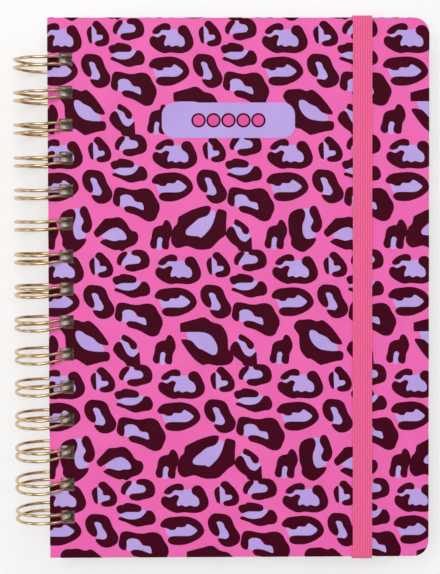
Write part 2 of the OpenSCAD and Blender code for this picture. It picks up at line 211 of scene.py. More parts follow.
# Print: dark and lilac spots of a plain animal pattern, printed on the wrap and carried
# on round its edges. Each spot is a thin field of ink with a lilac middle under a dark rim.
# Points are millimetres to the right and down, from the place that starts each entry.
SPOTS = {
    "A": ((-1.6, -2.7), {
        "dark": [
            [(3.1, 7.3), (4.2, 5.6), (6.6, 4.2), (8.8, 3.8), (10.4, 4.6), (10.4, 6.4), (8.6, 6.5),
             (7, 6.5), (5.9, 7.7), (4.4, 8.1)],
            [(13.5, 6.2), (14.4, 4.9), (16.2, 4.6), (17.6, 5.6), (18.9, 8), (19.8, 10.6), (19.5, 12.8),
             (18, 14.4), (15, 15.4), (10.4, 15.1), (8, 15.4), (5.4, 14.5), (2.8, 12.6), (2, 10.8),
             (2.5, 9.2), (3.8, 8.8), (5.4, 9.3), (7.4, 8.3), (8.8, 9), (8, 11.2), (8.3, 12.6),
             (9.8, 12.2), (11.2, 12.9), (12.8, 12.4), (14.6, 12.9), (16, 12.4), (16.3, 10.8),
             (15.6, 9.2), (13.8, 7.8)],
        ],
        "lilac": [
            [(10.2, 6.3), (13.2, 6.2), (14, 8), (16.6, 9.5), (16.6, 13), (8, 13), (8.4, 9.5), (7.4, 8),
             (5.5, 9.2), (4, 8.6), (6, 7), (7.6, 6.2)],
        ],
    }),
    "B": ((-1.6, -2.7), {
        "dark": [
            [(21.9, 7.6), (22.3, 6), (23.2, 5.2), (23.9, 5.3), (24, 8), (24.1, 11.4), (23.3, 11.5),
             (22.6, 10.4)],
            [(24.2, 4.4), (25, 3.1), (26.6, 3), (28.2, 4.4), (29.8, 6.2), (31, 8.4), (31.2, 10.4),
             (30.4, 12), (28.6, 12.7), (26.4, 12.7), (25.3, 11.9), (25.8, 10.8), (27.6, 10.3),
             (28.6, 9.6), (28.2, 8.4), (26.2, 8.2), (25.9, 6.6), (24.8, 5.4)],
        ],
        "lilac": [
            [(24, 5.4), (25.2, 5.8), (26, 8.2), (28, 8.3), (28.6, 9.2), (27.8, 10.3), (25.8, 10.8),
             (24.6, 11.2), (24, 11)],
        ],
    }),
    "C": ((23.7, -2.7), {
        "dark": [
            [(7.3, 6.6), (7.7, 4.8), (9, 3.2), (10.6, 2.6), (11.4, 3.4), (10.2, 5.4), (9.3, 6.8),
             (8.9, 8), (7.8, 7.8)],
            [(13, 3.4), (13.6, 2.2), (15.6, 1.9), (17.8, 2.3), (19.4, 3.8), (20.1, 6.2), (19.6, 8.4),
             (18, 9.4), (15.6, 10), (13.6, 10.5), (11.2, 10), (10.4, 8.8), (11.4, 7.8), (14, 7.5),
             (16, 7.1), (16.6, 5.8), (15.6, 4.5), (14, 4.2)],
        ],
        "lilac": [
            [(9.2, 7.6), (9.6, 6), (11.4, 4), (11.6, 2.9), (12.8, 3), (13.2, 4.2), (15.4, 4.2),
             (16.8, 5.6), (16.2, 7.3), (11.4, 7.6), (10, 8.3)],
        ],
    }),
    "D": ((-1.6, 14.7), {
        "dark": [
            [(19.5, 1.4), (20, -0.2), (21.4, -1.6), (23.2, -1.8), (26.2, -1.4), (28, -0.2), (28.9, 1.8),
             (29.6, 3.6), (31.2, 6.2), (31.6, 8), (30.8, 10), (28.4, 11.3), (25.8, 11.2), (24, 9.8),
             (23.2, 8.2), (24.6, 8), (26.4, 8.2), (27.4, 7), (26.8, 5.2), (25.8, 3.6), (25.2, 2),
             (23.8, 1.3), (22.8, 1.8), (23.4, 3.6), (23.9, 5.6), (23.5, 7), (22.2, 6.9), (20.6, 5.4),
             (19.7, 3.4)],
        ],
        "lilac": [
            [(22.7, 1.6), (24.2, 1.2), (25.6, 2.6), (27, 5), (27.5, 7), (26.6, 8.3), (24.4, 8.1),
             (23.6, 7), (23.9, 5)],
        ],
    }),
    "E": ((23.7, -2.7), {
        "dark": [
            [(5.6, 13.2), (6.6, 12.3), (8.2, 12), (9, 11.4), (10.8, 11.4), (13.4, 12), (14.8, 12.9),
             (14.8, 14.3), (13.6, 14.9), (9.4, 14.9), (7.2, 15.6), (6, 14.7)],
            [(6.3, 17.8), (7.2, 16.8), (9.6, 17.6), (12, 17.8), (14.4, 17.2), (16, 15.8), (17, 14.4),
             (18.8, 14.6), (20.1, 16.6), (20.1, 18.6), (19, 19.8), (16.8, 20.1), (13.8, 20.7),
             (11.6, 20.1), (9.4, 19)],
        ],
        "lilac": [
            [(6.8, 16), (8.4, 15), (10, 14.8), (13.6, 14.8), (15, 14), (16.6, 14.4), (16.4, 15.6),
             (14.6, 17.4), (12, 18), (9.4, 17.6)],
        ],
    }),
    "F": ((-1.6, 14.7), {
        "dark": [
            [(1.7, 2.6), (2.4, 1.2), (4, 0), (7, -0.5), (11, -0.7), (14.4, 0.2), (16.8, 2), (18.1, 4.6),
             (17.6, 6.6), (15.6, 8.4), (13, 9.7), (10.2, 10.5), (6.4, 10.4), (4.8, 9.4), (4.6, 8.2),
             (5.8, 7.2), (8, 7), (12.6, 7), (14.6, 6), (15.5, 4.8), (14, 3.4), (12, 2.3), (11, 3.3),
             (9.8, 3.6), (8, 3.5), (7.2, 4.5), (5.6, 4.6), (4.2, 3.9), (2.4, 3.6)],
        ],
        "lilac": [
            [(3.6, 4), (5.6, 4.8), (7.6, 3.6), (10.4, 3.4), (12, 2.2), (14, 3.2), (15.7, 4.8),
             (14.4, 6.4), (12, 7.1), (8, 7.1), (5, 7.2), (4, 5.8)],
        ],
    }),
    "G": ((23.7, 14.7), {
        "dark": [
            [(6.4, 10.4), (6.7, 8), (7.2, 6), (8.4, 5.1), (10.6, 5.2), (13, 5.8), (15.6, 6), (18, 5.5),
             (20.4, 5.6), (22.2, 6.8), (23.4, 9), (24.8, 11.4), (25, 13.6), (24.2, 15.6), (23.4, 17.4),
             (21.8, 18.3), (19.6, 18), (16, 16), (13.6, 15.2), (11.8, 14.6), (10.9, 13.2), (12, 12.3),
             (14.6, 12.5), (17, 13.4), (18.6, 13.8), (18.5, 12), (17.8, 11), (15.6, 10.6), (14.2, 8.8),
             (12.8, 8), (10.8, 7.9), (9.4, 8.8), (9.4, 10.8), (8.8, 12.5), (7.2, 11.9)],
        ],
        "lilac": [
            [(9.2, 9), (10.2, 7.9), (12.4, 7.9), (14, 8.8), (15.2, 10.6), (18, 11), (18.8, 13.9),
             (16, 13), (13, 12.3), (10.8, 12.7), (9.5, 12.2)],
        ],
    }),
    "J": ((23.0, 28.3), {
        "dark": [
            [(9.7, 5), (10.4, 3.9), (12.2, 4.6), (14.6, 6.4), (15.7, 7.8), (15.5, 9.2), (14.6, 9.8),
             (13.4, 9.2), (12.4, 7.3), (11, 6.6), (9.9, 5.9)],
            [(6.4, 9.6), (7.2, 7.6), (8.6, 6.7), (9.8, 7.4), (11.2, 10.4), (12.4, 12), (14.2, 12.6),
             (15.4, 11.8), (16.6, 10.8), (16.8, 13.6), (16.6, 16.4), (12, 16.2), (11, 14.8), (8.6, 13),
             (6.8, 10.8)],
        ],
        "lilac": [
            [(8.8, 6.4), (9.8, 5.9), (12.2, 7.2), (13.4, 9.4), (16, 9.8), (16.2, 11), (14.4, 12.6),
             (12.6, 12), (11.2, 10.2), (9.8, 7.6)],
        ],
    }),
    "K": ((-21.7, 28.5), {
        "dark": [
            [(21, 13.2), (21.6, 11), (22, 8.6), (22.8, 7), (24.6, 6.2), (26, 5.9), (26.7, 4.4),
             (27.7, 3.9), (29, 5), (29.9, 7.4), (29.8, 9.4), (28.8, 11.6), (28.6, 13.8), (28.2, 15.2),
             (26.8, 15.3), (25.7, 14.3), (25.8, 12.6), (26, 11.4), (25.2, 10.6), (24.2, 11),
             (23.8, 12.8), (23.7, 14.4), (22.8, 15.1), (21.6, 14.7)],
        ],
        "lilac": [[(24, 11.4), (25, 10.4), (26, 11.4), (25.6, 13), (25.6, 15.2), (23.9, 15.2)]],
    }),
    "Q": ((-1.6, 14.7), {
        "dark": [
            [(11.6, 13.6), (12, 13.1), (15.2, 12.2), (18, 11.5), (20, 10.9), (21.8, 11.2), (24, 12.8),
             (26.4, 13.4), (28, 14.4), (29.4, 16.6), (30.1, 19), (30.2, 21.8), (30.4, 23.4),
             (31.7, 24.6), (32.4, 26.2), (32, 27.9), (30.6, 29.2), (28, 29.7), (25, 29.6), (22.6, 29.1),
             (20.6, 29.5), (19.4, 29), (17.2, 27.3), (15.2, 25), (13, 21.8), (12, 19.9), (12.8, 19.4),
             (15.2, 19.7), (16.6, 20.6), (18.6, 22.8), (20.4, 23.6), (22.6, 24.8), (24.4, 25.6),
             (25.8, 25), (26.1, 22.6), (25.2, 20.2), (23.6, 18.1), (21.6, 17), (18.6, 16.6),
             (12.4, 16.6), (11.7, 16.2)],
        ],
        "lilac": [
            [(14, 16.6), (18.4, 16.5), (22, 17), (24.4, 18.8), (26, 21.6), (26.2, 24.6), (25.2, 25.7),
             (22.4, 24.8), (19, 23.2), (16.4, 20.5), (14.6, 19.4), (14.4, 17.8)],
        ],
    }),
    "P": ((-3.2, 24.5), {
        "dark": [
            [(10.9, 15), (11.3, 12.8), (12, 10.8), (13.3, 9.4), (13.8, 7), (15, 6.1), (16.8, 5.2),
             (18.6, 4.3), (22.4, 3), (25, 2.5), (26.4, 2.7), (26.7, 3.6), (25.4, 6.2), (22, 7.4),
             (19.8, 9.2), (17.2, 11.4), (16.7, 12.8), (17.6, 13.9), (21.6, 14.3), (23, 14.8), (25.8, 12),
             (27.4, 9.6), (28.8, 5.4), (29.6, 3.8), (31.4, 4), (33, 5), (32.8, 9), (32.6, 13.6),
             (30.4, 15.4), (28.4, 17.4), (26.6, 19), (24, 19.5), (21, 19.3), (18.4, 18.4), (16.8, 18.1),
             (13.6, 18.9), (12, 18.1), (11, 16.6)],
        ],
        "lilac": [
            [(16.8, 12.6), (18.6, 10.2), (21.2, 7.6), (25.4, 6.2), (27, 4.5), (28.4, 4.8), (28.4, 7),
             (27.2, 9.8), (25.4, 12.6), (22.9, 14.6), (21.2, 14.2), (18.6, 14.2), (17, 13.6)],
        ],
    }),
    "M": ((6.9, 22.9), {
        "dark": [
            [(1.8, 11.2), (1.9, 8.8), (2.8, 6.8), (4.6, 5.7), (6.6, 5.2), (7.8, 5.8), (8.4, 7.4),
             (8, 9.4), (7.3, 11.4), (7.3, 13.6), (7.8, 15.8), (9, 17), (11, 16.8), (12.6, 16.8),
             (11.8, 18.8), (9.8, 20.8), (7.4, 22.1), (4.6, 21), (2.9, 19.2), (2.9, 17), (2.1, 14.6)],
            [(9.9, 6), (10.8, 4.3), (12.2, 4.2), (13.2, 5.4), (14.2, 8), (14.9, 10.4), (14.7, 12.6),
             (13.6, 14.2), (12, 14.5), (10.8, 13.6), (10.6, 12), (11.5, 9.9), (10.4, 7.8)],
        ],
        "lilac": [
            [(7.8, 5.4), (9.9, 5.2), (10.2, 7.4), (11.5, 10), (10.7, 12), (11, 13.8), (12.4, 14.6),
             (12.2, 16), (9.2, 17), (7.8, 15.6), (7.2, 12.6), (8.4, 8.6)],
        ],
    }),
    "N": ((20.2, 26.9), {
        "dark": [
            [(2.2, 10.3), (3.6, 8.4), (5.4, 6.4), (6.8, 5), (9.4, 4.8), (12, 4.4), (13.8, 5.1),
             (15.4, 6.8), (16.4, 8.6), (17.6, 9.7), (19.2, 10.2), (20, 11.8), (19.7, 13.6), (18.4, 15.2),
             (15.4, 16.4), (13.6, 17.6), (12.2, 17.1), (10.6, 17.2), (7.8, 16.1), (4.8, 14.3),
             (5.6, 13.4), (7, 12.9), (10.4, 13.7), (12.4, 13.3), (14.8, 13.2), (15.3, 12), (14, 9.8),
             (12, 8.6), (10.8, 8.5), (8.6, 9.2), (5, 11.5), (3.4, 12.2)],
        ],
        "lilac": [
            [(5.6, 11.4), (9, 9), (11, 8.4), (12.6, 8.8), (15, 11.2), (15.2, 13), (12.4, 13.5),
             (10.4, 13.8), (7.4, 12.8), (6.2, 12.6)],
        ],
    }),
    "H": ((6.8, 22.7), {
        "dark": [
            [(2, 6.8), (2.5, 5.2), (3.8, 4.1), (6, 3.9), (8.6, 3.8), (11, 4.6), (13.2, 4.1), (16, 6.2),
             (18, 8.6), (19.6, 10.8), (20.8, 12.9), (20.2, 13.7), (17, 12.9), (14.8, 10.8), (12, 9.5),
             (10.4, 8.3), (8.6, 8), (8, 9), (8.2, 10.8), (9.2, 12.8), (10.6, 14.4), (12.8, 15.6),
             (16.8, 16.2), (20.9, 16.4), (21, 19.5), (18, 20.2), (13.2, 21.5), (12, 21.4), (8.6, 19.2),
             (7.2, 19), (5, 16.6), (4.2, 14), (4, 10.2), (3, 8.6)],
        ],
        "lilac": [
            [(8, 9.4), (8.8, 8.1), (10.6, 8.3), (12.4, 9.6), (14.8, 10.8), (17, 12.9), (18.6, 13.8),
             (18.8, 16.2), (13.6, 16), (10.4, 14.4), (8.8, 12.4)],
        ],
    }),
}

# Eight of them come back in every tile, and the third line of a tile changes with its place
IN_EVERY_TILE = ("A", "B", "C", "D", "E", "F", "G", "K")
THIRD_LINE = {(0, 0): ("H", "J"), (1, 0): ("Q", "J"), (0, 1): ("M", "N"), (1, 1): ("P", "J")}

# Tiles lie in rows and columns. The feet of J meet the spots of the next row, so its ink
# lies a hair over theirs. The columns lean: DRIFT is how far a place moves sideways over
# two rows, by its distance from the second column
ROWS = range(-1, 5)
COLUMNS = range(4)
OUTLINE_STEPS = 3
TILE_W = 45.5
ROW_H = 44.7
FIRST_ROW_Y = 1.1
FOOT_STEP = 0.012
SECOND_COLUMN_X = 41.0
MIDDLE_ROW = 2
DRIFT_ROWS = 2
DRIFT = (
    (-50, -0.6), (-36, -0.3), (-20, 0.9), (5, 2.1), (25, 3.0), (40, 3.7), (54, 4.1), (70, 3.9),
    (85, 2.8), (100, 1.4), (125, 0)
)
SIDE_LENGTH = FACE_Z - TURNED_Z - 2 * RIM_R
BEND_LENGTH = RIM_R * math.pi / 2
TURN_IN_SHOWN = 2.4
PAPER_END = 2 * BEND_LENGTH + SIDE_LENGTH + TURN_IN_SHOWN - RIM_R
SPOT_REACH = 12.0


def smooth_outline(points, steps):
    """The given points joined by a soft curve, as a drawing pen would."""
    count = len(points)
    outline = []
    for i in range(count):
        before, here, there, after = [Vector(points[(i + k) % count]) for k in (-1, 0, 1, 2)]
        leave = here + (there - before) / 6
        arrive = there - (after - here) / 6
        outline += geometry.interpolate_bezier(here, leave, arrive, there, steps + 1)[:-1]
    return outline


def look_up(table, place):
    """The table's value at a place, on straight lines between its entries."""
    for (start, low), (end, high) in zip(table, table[1:]):
        if place < end:
            return low + (high - low) * max(place - start, 0) / (end - start)
    return table[-1][1]


def print_sheet(ink):
    """All the fields of one ink as flat faces on the unfolded paper, in millimetres."""
    sheet = bmesh.new()
    for row in ROWS:
        lean = (row - MIDDLE_ROW) / DRIFT_ROWS
        for column in COLUMNS:
            for name in IN_EVERY_TILE + THIRD_LINE[column % 2, row % 2]:
                place, fields = SPOTS[name]
                for field in fields[ink]:
                    corners = []
                    for point in smooth_outline(field, OUTLINE_STEPS):
                        across = (column - 1) * TILE_W + place[0] + point.x
                        x = SPINE_X + SECOND_COLUMN_X + across + look_up(DRIFT, across) * lean
                        y = HALF_H - FIRST_ROW_Y - ROW_H * row - place[1] - point.y
                        corners.append(sheet.verts.new((x, y, FOOT_STEP if name == "J" else 0)))
                    face = sheet.faces.new(corners)
                    face.normal_update()
                    if face.normal.z < 0:
                        face.normal_flip()
    bmesh.ops.triangulate(sheet, faces=sheet.faces[:], ngon_method="EAR_CLIP")
    return sheet


def score(sheet, point, outwards, near=None, clear=False):
    """Cuts the faces of the sheet along a line, and drops what lies beyond if clear is set."""
    faces = [f for f in sheet.faces if near is None or near(f.calc_center_median())]
    around = {e for f in faces for e in f.edges} | {v for f in faces for v in f.verts}
    bmesh.ops.bisect_plane(
        sheet, geom=faces + list(around), dist=1e-6, plane_co=(point[0], point[1], 0),
        plane_no=(outwards[0], outwards[1], 0), clear_outer=clear
    )


def punch(sheet, left, right, low, high):
    """Takes a rectangular window out of the sheet, and scores only the spots near it."""
    def within(spare):
        return lambda p: left - spare < p.x < right + spare and low - spare < p.y < high + spare

    for x in (left, right):
        score(sheet, (x, 0), (1, 0), within(SPOT_REACH))
    for y in (low, high):
        score(sheet, (0, y), (0, 1), within(SPOT_REACH))
    inside = [f for f in sheet.faces if within(0)(f.calc_center_median())]
    bmesh.ops.delete(sheet, geom=inside, context="FACES")


def fold_point(x, y, lift):
    """Where a point of the unfolded paper lies once the paper is glued round the board."""
    at_corner = x > FORE_X - CORNER_R and abs(y) > HALF_H - CORNER_R
    if at_corner:
        middle = Vector((FORE_X - CORNER_R, math.copysign(HALF_H - CORNER_R, y)))
        ray = Vector((x, y)) - middle
        past = ray.length - (CORNER_R - RIM_R)
        outwards = ray.normalized()
        edge = middle + outwards * (CORNER_R - RIM_R)
    else:
        edge = Vector((
            min(max(x, SPINE_X + RIM_R), FORE_X - RIM_R), min(max(y, RIM_R - HALF_H), HALF_H - RIM_R)
        ))
        ray = Vector((x, y)) - edge
        past = ray.length
        outwards = ray.normalized()
    if past <= 0:
        return Vector((x, y, FACE_Z + lift))
    if past < BEND_LENGTH:
        turn = past / RIM_R
        out = (RIM_R + lift) * math.sin(turn)
        level = FACE_Z - RIM_R + (RIM_R + lift) * math.cos(turn)
    elif past < BEND_LENGTH + SIDE_LENGTH:
        out = RIM_R + lift
        level = FACE_Z - RIM_R - (past - BEND_LENGTH)
    elif past < 2 * BEND_LENGTH + SIDE_LENGTH:
        turn = (past - BEND_LENGTH - SIDE_LENGTH) / RIM_R
        out = (RIM_R + lift) * math.cos(turn)
        level = TURNED_Z + RIM_R - (RIM_R + lift) * math.sin(turn)
    else:
        out = -(past - 2 * BEND_LENGTH - SIDE_LENGTH)
        level = TURNED_Z - lift
    spot = edge + outwards * out
    return Vector((spot.x, spot.y, level))


def fold_lines():
    """Distances past the flat face at which the paper is scored, and where it is cut off."""
    bends = [BEND_LENGTH * i / RIM_STEPS for i in range(RIM_STEPS + 1)]
    return bends + [SIDE_LENGTH + BEND_LENGTH + b for b in bends] + [PAPER_END]


def fold_sheet(sheet, lift):
    """Scores the unfolded sheet, cuts it to size and glues it round the board."""
    corner = CORNER_R * 1.5
    for past in fold_lines():
        last = past == PAPER_END
        score(sheet, (SPINE_X + RIM_R - past, 0), (-1, 0), clear=last)
        score(sheet, (FORE_X - RIM_R + past, 0), (1, 0), clear=last)
        score(sheet, (0, HALF_H - RIM_R + past), (0, 1), clear=last)
        score(sheet, (0, RIM_R - HALF_H - past), (0, -1), clear=last)
    for side in (-1, 1):
        middle = Vector((FORE_X - CORNER_R, side * (HALF_H - CORNER_R)))
        for degrees in (22.5, 45, 67.5):
            outwards = Vector((math.cos(math.radians(degrees)), side * math.sin(math.radians(degrees))))
            for past in fold_lines()[::2]:
                score(
                    sheet, middle + outwards * (CORNER_R - RIM_R + past), outwards,
                    lambda p: p.x > FORE_X - corner and p.y * side > HALF_H - corner,
                    past == PAPER_END
                )
    for v in sheet.verts:
        v.co = fold_point(v.co.x, v.co.y, lift + v.co.z) / 1000


# Where the holes, the band and its slots lie, in millimetres: the print is cut round them
LOOP_N = 15
LOOP_PITCH = 12.7
LOOP_Y = [(i - (LOOP_N - 1) / 2) * LOOP_PITCH for i in range(LOOP_N)]
HOLE_LEFT = -62.347
HOLE_RIGHT = -57.147
HALF_HOLE_H = 2.5
BAND_X = 52.153
BAND_W = 7.5
SLOT_Y = 91.0
SLOT_HALF_W = 3.9
SLOT_HALF_H = 0.5

# Dark ink: a warm near-black that takes up nearly all light and hardly shines
dark_ink, tree, shader = new_finish("maroon_ink_matt_film")
place = add(tree, "ShaderNodeTexCoord", {}).outputs
clouds = add(tree, "ShaderNodeTexNoise", {"Vector": place["Object"], "Scale": 90.0, "Detail": 4.0})
shades = add(tree, "ShaderNodeValToRGB", {"Fac": clouds.outputs["Fac"]})
shades.color_ramp.elements[0].position = 0.3
shades.color_ramp.elements[0].color = linear("#3f0419")
shades.color_ramp.elements[1].position = 0.7
shades.color_ramp.elements[1].color = linear("#46071e")
swells = add(tree, "ShaderNodeTexNoise", {"Vector": place["Object"], "Scale": 500.0, "Detail": 2.0})
relief = add(tree, "ShaderNodeBump", {
    "Strength": 0.25, "Distance": 0.00004, "Height": swells.outputs["Fac"]
})
join(tree, shades.outputs["Color"], shader, "Base Color")
join(tree, relief.outputs["Normal"], shader, "Normal")
shader.inputs["Roughness"].default_value = 0.5
shader.inputs["Specular IOR Level"].default_value = 0.03

# Lilac ink: a flat, chalky tint whose strength clouds by a few percent over 15 mm
lilac_ink, tree, shader = new_finish("lilac_ink_matt_film")
place = add(tree, "ShaderNodeTexCoord", {}).outputs
clouds = add(tree, "ShaderNodeTexNoise", {"Vector": place["Object"], "Scale": 60.0, "Detail": 3.0})
shades = add(tree, "ShaderNodeValToRGB", {"Fac": clouds.outputs["Fac"]})
shades.color_ramp.elements[0].position = 0.3
shades.color_ramp.elements[0].color = linear("#b79de0")
shades.color_ramp.elements[1].position = 0.7
shades.color_ramp.elements[1].color = linear("#bfa6e6")
swells = add(tree, "ShaderNodeTexNoise", {"Vector": place["Object"], "Scale": 500.0, "Detail": 2.0})
relief = add(tree, "ShaderNodeBump", {
    "Strength": 0.25, "Distance": 0.00004, "Height": swells.outputs["Fac"]
})
join(tree, shades.outputs["Color"], shader, "Base Color")
join(tree, relief.outputs["Normal"], shader, "Normal")
shader.inputs["Roughness"].default_value = 0.5
shader.inputs["Specular IOR Level"].default_value = 0.12

# The inks' tops are measured from the paper. The lilac is printed first, and the dark rim
# over its edge; the windows round the holes and slots are cut before the paper is folded
INK_BASE = 0.01
LILAC_TOP = 0.05
DARK_TOP = 0.09
PUNCH_CLEAR = 0.03
for ink, kind, finish, lift, node, slot in (
    ("lilac", "spot_middles", lilac_ink, LILAC_TOP, "front_print_centres", "lilac_ink"),
    ("dark", "spot_rims", dark_ink, DARK_TOP, "front_print_spots", "maroon_ink")
):
    sheet = print_sheet(ink)
    for y in LOOP_Y:
        low, high = y - HALF_HOLE_H - PUNCH_CLEAR, y + HALF_HOLE_H + PUNCH_CLEAR
        punch(sheet, HOLE_LEFT - PUNCH_CLEAR, HOLE_RIGHT + PUNCH_CLEAR, low, high)
    for side in ("front", "back"):
        folded = sheet.copy()
        if side == "back":
            for y in (-SLOT_Y, SLOT_Y):
                punch(folded, BAND_X - SLOT_HALF_W, BAND_X + SLOT_HALF_W, y - SLOT_HALF_H, y + SLOT_HALF_H)
        fold_sheet(folded, lift)
        if side == "back":
            bmesh.ops.scale(folded, vec=(1, 1, -1), verts=folded.verts)
            bmesh.ops.translate(folded, vec=(0, 0, 2 * AXIS_Z / 1000), verts=folded.verts)
            bmesh.ops.reverse_faces(folded, faces=folded.faces)
        field = piece_from(folded, side + "_" + kind, finish, smooth=False)
        wall = field.modifiers.new("ink", "SOLIDIFY")
        wall.thickness = (lift - INK_BASE) / 1000
        wall.offset = -1
        if side == "front":
            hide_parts(node)
        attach(field, side)
    sheet.free()


# Title panel: a lilac field with round corners, with a row of five pink dots on it, each
# with a dark outline. It stands where the cover's title would be, and says nothing.
PANEL_X = 3.253
PANEL_Y = 65.3
PANEL_W = 51.6
PANEL_H = 13.7
PANEL_R = 4.8
PANEL_TOP = 0.13
CORNER_STEPS = 16
DOT_N = 5
DOT_D = 4.2
DOT_PITCH = 5.8
DOT_LINE = 0.7
DOT_SIDES = 48


def thicken(shape, height):
    """Draws flat fields of ink up into closed slabs, and turns millimetres into metres."""
    tops = bmesh.ops.extrude_face_region(shape, geom=shape.faces[:], use_keep_orig=True)["geom"]
    lifted = [v for v in tops if isinstance(v, bmesh.types.BMVert)]
    bmesh.ops.translate(shape, vec=(0, 0, height), verts=lifted)
    bmesh.ops.recalc_face_normals(shape, faces=shape.faces)
    bmesh.ops.transform(shape, matrix=Matrix.Scale(0.001, 4), verts=shape.verts)


def rounded_outline(x, y, width, height, radius, steps):
    """The corners of a rectangle with round corners, from the right round to the left."""
    outline = []
    for corner, (right, up) in enumerate(((1, 1), (-1, 1), (-1, -1), (1, -1))):
        for step in range(steps + 1):
            turn = math.radians(90 * (corner + step / steps))
            outline.append((
                x + right * (width / 2 - radius) + radius * math.cos(turn),
                y + up * (height / 2 - radius) + radius * math.sin(turn)
            ))
    return outline


outline = rounded_outline(PANEL_X, PANEL_Y, PANEL_W, PANEL_H, PANEL_R, CORNER_STEPS)
shape = bmesh.new()
shape.faces.new([shape.verts.new((x, y, FACE_Z + INK_BASE)) for x, y in outline])
thicken(shape, PANEL_TOP - INK_BASE)
panel = piece_from(shape, "title_panel", lilac_ink, smooth=False)
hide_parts("front_title_panel")
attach(panel, "front")

# Title pink: a deeper, cooler pink than the cover's, so that the dots stand off the lilac
title_ink, tree, shader = new_finish("deep_pink_ink_matt_film")
place = add(tree, "ShaderNodeTexCoord", {}).outputs
clouds = add(tree, "ShaderNodeTexNoise", {"Vector": place["Object"], "Scale": 300.0, "Detail": 3.0})
shades = add(tree, "ShaderNodeValToRGB", {"Fac": clouds.outputs["Fac"]})
shades.color_ramp.elements[0].position = 0.3
shades.color_ramp.elements[0].color = linear("#dc4c9a")
shades.color_ramp.elements[1].position = 0.7
shades.color_ramp.elements[1].color = linear("#e455a3")
join(tree, shades.outputs["Color"], shader, "Base Color")
shader.inputs["Roughness"].default_value = 0.5
shader.inputs["Specular IOR Level"].default_value = 0.12

# The outlines lie on the panel, and the dots on the outlines, each 0.03 mm of ink
DOT_INK = 0.03
for kind, finish, spread, base, node, slot in (
    ("title_dot_rims", dark_ink, DOT_LINE, 0.14, "front_dot_outlines", "maroon_ink"),
    ("title_dots", title_ink, 0, 0.18, "front_title_dots", "pink_ink")
):
    dots = bmesh.new()
    for i in range(DOT_N):
        middle = (PANEL_X + (i - (DOT_N - 1) / 2) * DOT_PITCH, PANEL_Y, FACE_Z + base)
        bmesh.ops.create_circle(
            dots, cap_ends=True, segments=DOT_SIDES, radius=DOT_D / 2 + spread,
            matrix=Matrix.Translation(middle)
        )
    thicken(dots, DOT_INK)
    row = piece_from(dots, kind, finish, smooth=False)
    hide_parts(node)
    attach(row, "front")


# Linings: one sheet of white paper inside each cover, pasted over the board and the turned
# strips of the wrap. It is punched together with the cover.

# Uncoated paper: dull white, very faintly cloudy, with fibres of 0.4 mm that roughen it
lining_finish, tree, shader = new_finish("uncoated_lining_paper")
place = add(tree, "ShaderNodeTexCoord", {}).outputs
clouds = add(tree, "ShaderNodeTexNoise", {"Vector": place["Object"], "Scale": 250.0, "Detail": 5.0})
shades = add(tree, "ShaderNodeValToRGB", {"Fac": clouds.outputs["Fac"]})
shades.color_ramp.elements[0].position = 0.3
shades.color_ramp.elements[0].color = linear("#f1edef")
shades.color_ramp.elements[1].position = 0.7
shades.color_ramp.elements[1].color = linear("#f5f1f2")
fibres = add(tree, "ShaderNodeTexNoise", {"Vector": place["Object"], "Scale": 2500.0, "Detail": 2.0})
relief = add(tree, "ShaderNodeBump", {
    "Strength": 0.2, "Distance": 0.00003, "Height": fibres.outputs["Fac"]
})
join(tree, shades.outputs["Color"], shader, "Base Color")
join(tree, relief.outputs["Normal"], shader, "Normal")
shader.inputs["Roughness"].default_value = 0.8
for name in ("front_lining", "back_lining"):
    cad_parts[name].material_slots[0].material = lining_finish


# Pages: a stack of plain off-white leaves, punched in a row and held only by the loops, so
# that each leaf lies a hair off the one below. 42 leaves stand for the stack. Their holes
# are narrower than the covers', so that paper shows through those, and longer to the tail.
LEAF_N = 42
LEAF_GAP = 0.012
LEAF_DRIFT = 0.07
LEAF_HOLE_LEFT = -60.45
LEAF_HOLE_LONGER = 1.5
DRIFT_SEED = 5

# Offset paper: warm white, dull, with cut edges that show as fine lines 0.2 mm apart
page_finish, tree, shader = new_finish("uncoated_page_paper")
place = add(tree, "ShaderNodeTexCoord", {}).outputs
clouds = add(tree, "ShaderNodeTexNoise", {"Vector": place["Object"], "Scale": 200.0, "Detail": 5.0})
shades = add(tree, "ShaderNodeValToRGB", {"Fac": clouds.outputs["Fac"]})
shades.color_ramp.elements[0].position = 0.3
shades.color_ramp.elements[0].color = linear("#f4f0ea")
shades.color_ramp.elements[1].position = 0.7
shades.color_ramp.elements[1].color = linear("#f7f4ee")
fibres = add(tree, "ShaderNodeTexNoise", {"Vector": place["Object"], "Scale": 2500.0, "Detail": 2.0})
relief = add(tree, "ShaderNodeBump", {
    "Strength": 0.2, "Distance": 0.00003, "Height": fibres.outputs["Fac"]
})
join(tree, shades.outputs["Color"], shader, "Base Color")
join(tree, relief.outputs["Normal"], shader, "Normal")
shader.inputs["Roughness"].default_value = 0.85

